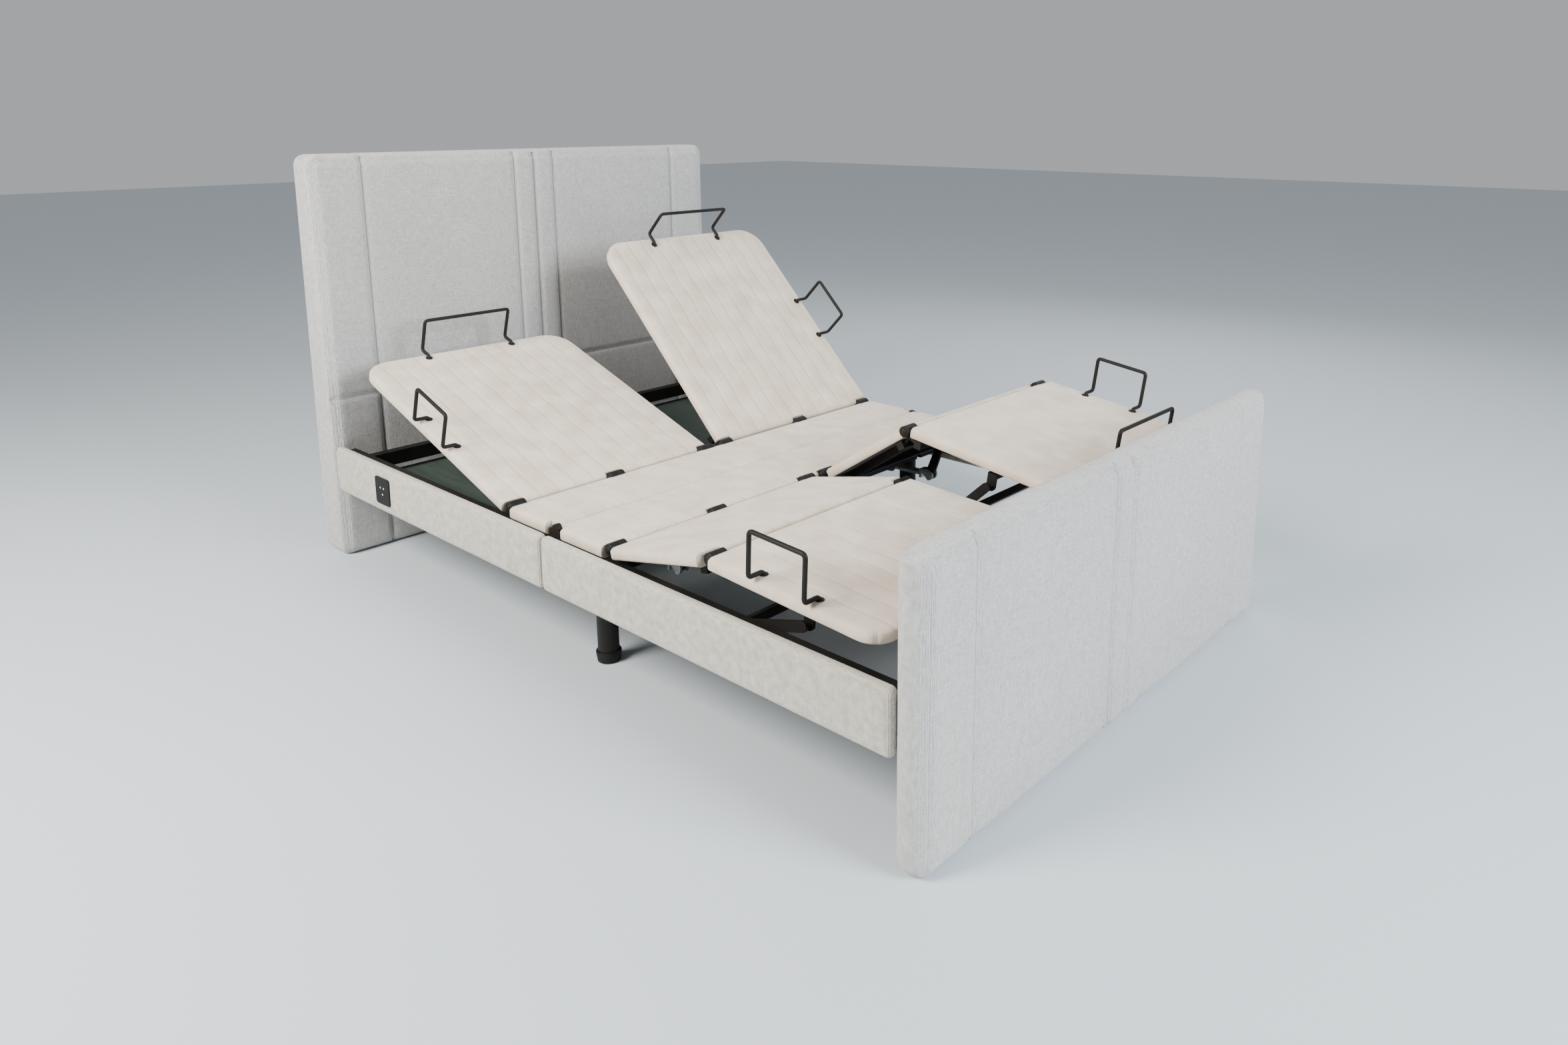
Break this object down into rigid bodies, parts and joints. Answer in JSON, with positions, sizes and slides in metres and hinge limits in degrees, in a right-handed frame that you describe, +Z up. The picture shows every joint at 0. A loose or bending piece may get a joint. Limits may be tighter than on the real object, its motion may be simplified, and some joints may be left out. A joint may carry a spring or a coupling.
{
  "type": "adjustable bed base",
  "caption": "Upholstered adjustable bed base: a split steel frame with separately lifting back and leg sections for two sleepers.",
  "frame": {"origin": "on the floor, at the middle of the bed's bounding box", "axes": "+X towards the foot end, +Y towards the right side as seen from the foot, +Z up"},
  "size_m": [2.257, 1.4038, 1.155],
  "materials": {
    "rail_fabric": "light grey-beige linen weave upholstery",
    "deck_cloth": "cream quilted deck cloth over thin foam",
    "black_plastic": "fine-textured black moulding",
    "rod_steel": "drawn steel rod",
    "green_board": "dark green painted board",
    "black_steel": "black powder coat"
  },
  "bodies": {
    "base": {"headboard": "rail_fabric", "footboard": "rail_fabric", "side_rail_left_head": "rail_fabric", "side_rail_left_foot": "rail_fabric", "side_rail_right_head": "rail_fabric", "side_rail_right_foot": "rail_fabric", "frame_tube_left_head": "black_steel", "frame_tube_left_foot": "black_steel", "frame_tube_right_head": "black_steel", "frame_tube_right_foot": "black_steel", "frame_crossbar_head": "black_steel", "frame_crossbar_foot": "black_steel", "frame_crossbar_split_head": "black_steel", "frame_crossbar_split_foot": "black_steel", "centre_tube_head": "black_steel", "centre_tube_foot": "black_steel", "back_hinge_bar": "black_steel", "thigh_hinge_bar": "black_steel", "split_joint_left": "black_steel", "split_joint_right": "black_steel", "leg_left": "black_steel", "leg_right": "black_steel", "leg_cap_left": "black_plastic", "leg_cap_right": "black_plastic", "bottom_board": "green_board", "socket_plate": "black_plastic", "control_box": "black_plastic", "wiring_loom": "black_plastic", "seat_panel_head": "deck_cloth", "seat_panel_foot": "deck_cloth"},
    "back_left": {"back_panel_left": "deck_cloth", "back_frame_left": "black_steel", "back_side_wire_left": "black_steel", "back_head_wire_left": "black_steel"},
    "thigh_left": {"thigh_panel_left": "deck_cloth", "thigh_frame_left": "black_steel"},
    "lower_leg_left": {"leg_panel_left": "deck_cloth", "leg_frame_left": "black_steel", "leg_side_wire_left": "black_steel", "leg_foot_wire_left": "black_steel"},
    "support_arm_left": {"leg_support_arm_left": "black_steel"},
    "back_drive_left": {"back_actuator_left_housing": "black_plastic"},
    "back_rod_left": {"back_actuator_left_rod": "rod_steel"},
    "knee_drive_left": {"knee_actuator_left_housing": "black_plastic"},
    "knee_rod_left": {"knee_actuator_left_rod": "rod_steel"},
    "back_right": {"back_panel_right": "deck_cloth", "back_frame_right": "black_steel", "back_side_wire_right": "black_steel", "back_head_wire_right": "black_steel"},
    "thigh_right": {"thigh_panel_right": "deck_cloth", "thigh_frame_right": "black_steel"},
    "lower_leg_right": {"leg_panel_right": "deck_cloth", "leg_frame_right": "black_steel", "leg_side_wire_right": "black_steel", "leg_foot_wire_right": "black_steel"},
    "support_arm_right": {"leg_support_arm_right": "black_steel"},
    "back_drive_right": {"back_actuator_right_housing": "black_plastic"},
    "back_rod_right": {"back_actuator_right_rod": "rod_steel"},
    "knee_drive_right": {"knee_actuator_right_housing": "black_plastic"},
    "knee_rod_right": {"knee_actuator_right_rod": "rod_steel"}
  },
  "joints": [
    {"name": "back_lift_left", "type": "hinge", "parent": "base", "child": "back_left", "pos_m": [-0.1635, -0.341, 0.342], "axis": [0, 1, 0], "range_deg": [-18.5, 44.5]},
    {"name": "leg_lift_left", "type": "hinge", "parent": "base", "child": "thigh_left", "pos_m": [0.2315, -0.341, 0.342], "axis": [0, -1, 0], "range_deg": [-12.6, 25.4]},
    {"name": "knee_fold_left", "type": "hinge", "parent": "thigh_left", "child": "lower_leg_left", "pos_m": [0.54749, -0.341, 0.40443], "axis": [0, 1, 0], "range_deg": [-15.63, 31.51]},
    {"name": "support_arm_turn_left", "type": "hinge", "parent": "base", "child": "support_arm_left", "pos_m": [0.5933, -0.341, 0.28], "axis": [0, -1, 0], "range_deg": [-16.59, 33.42]},
    {"name": "back_drive_tilt_left", "type": "hinge", "parent": "base", "child": "back_drive_left", "pos_m": [0.2005, -0.2, 0.228], "axis": [0, 1, 0], "range_deg": [-0.85, 0.35]},
    {"name": "back_rod_slide_left", "type": "slide", "parent": "back_drive_left", "child": "back_rod_left", "axis": [-0.9994, 0, 0.0343], "range_m": [-0.03235, 0.07753]},
    {"name": "knee_drive_tilt_left", "type": "hinge", "parent": "base", "child": "knee_drive_left", "pos_m": [-0.1325, -0.45, 0.228], "axis": [0, -1, 0], "range_deg": [-0.29887, 0.14826]},
    {"name": "knee_rod_slide_left", "type": "slide", "parent": "knee_drive_left", "child": "knee_rod_left", "axis": [0.9996, 0, 0.0274], "range_m": [-0.02285, 0.04586]},
    {"name": "back_lift_right", "type": "hinge", "parent": "base", "child": "back_right", "pos_m": [-0.1635, 0.341, 0.342], "axis": [0, 1, 0], "range_deg": [-45, 18]},
    {"name": "leg_lift_right", "type": "hinge", "parent": "base", "child": "thigh_right", "pos_m": [0.2315, 0.341, 0.342], "axis": [0, -1, 0], "range_deg": [-33, 5]},
    {"name": "knee_fold_right", "type": "hinge", "parent": "thigh_right", "child": "lower_leg_right", "pos_m": [0.50591, 0.341, 0.51066], "axis": [0, 1, 0], "range_deg": [-40.93, 6.21]},
    {"name": "support_arm_turn_right", "type": "hinge", "parent": "base", "child": "support_arm_right", "pos_m": [0.5933, 0.341, 0.28], "axis": [0, -1, 0], "range_deg": [-43.42, 6.59]},
    {"name": "back_drive_tilt_right", "type": "hinge", "parent": "base", "child": "back_drive_right", "pos_m": [0.2005, 0.2, 0.228], "axis": [0, 1, 0], "range_deg": [-0.34, 0.86]},
    {"name": "back_rod_slide_right", "type": "slide", "parent": "back_drive_right", "child": "back_rod_right", "axis": [-0.9995, 0, 0.0306], "range_m": [-0.07839, 0.03148]},
    {"name": "knee_drive_tilt_right", "type": "hinge", "parent": "base", "child": "knee_drive_right", "pos_m": [-0.1325, 0.45, 0.228], "axis": [0, -1, 0], "range_deg": [-0.05883, 0.38829]},
    {"name": "knee_rod_slide_right", "type": "slide", "parent": "knee_drive_right", "child": "knee_rod_right", "axis": [0.9995, 0, 0.0311], "range_m": [-0.05952, 0.00919]}
  ],
  "couplings": [
    {"joint": "knee_fold_left", "follows": "leg_lift_left", "ratio": 1.24},
    {"joint": "support_arm_turn_left", "follows": "leg_lift_left", "ratio": 1.3155},
    {"joint": "back_drive_tilt_left", "follows": "back_lift_left", "ratio": -0.01877},
    {"joint": "back_rod_slide_left", "follows": "back_lift_left", "m_per_rad": 0.09956},
    {"joint": "knee_drive_tilt_left", "follows": "leg_lift_left", "ratio": -0.01154},
    {"joint": "knee_rod_slide_left", "follows": "leg_lift_left", "m_per_rad": 0.103},
    {"joint": "knee_fold_right", "follows": "leg_lift_right", "ratio": 1.24},
    {"joint": "support_arm_turn_right", "follows": "leg_lift_right", "ratio": 1.3155},
    {"joint": "back_drive_tilt_right", "follows": "back_lift_right", "ratio": -0.01877},
    {"joint": "back_rod_slide_right", "follows": "back_lift_right", "m_per_rad": 0.09956},
    {"joint": "knee_drive_tilt_right", "follows": "leg_lift_right", "ratio": -0.01154},
    {"joint": "knee_rod_slide_right", "follows": "leg_lift_right", "m_per_rad": 0.103}
  ]
}
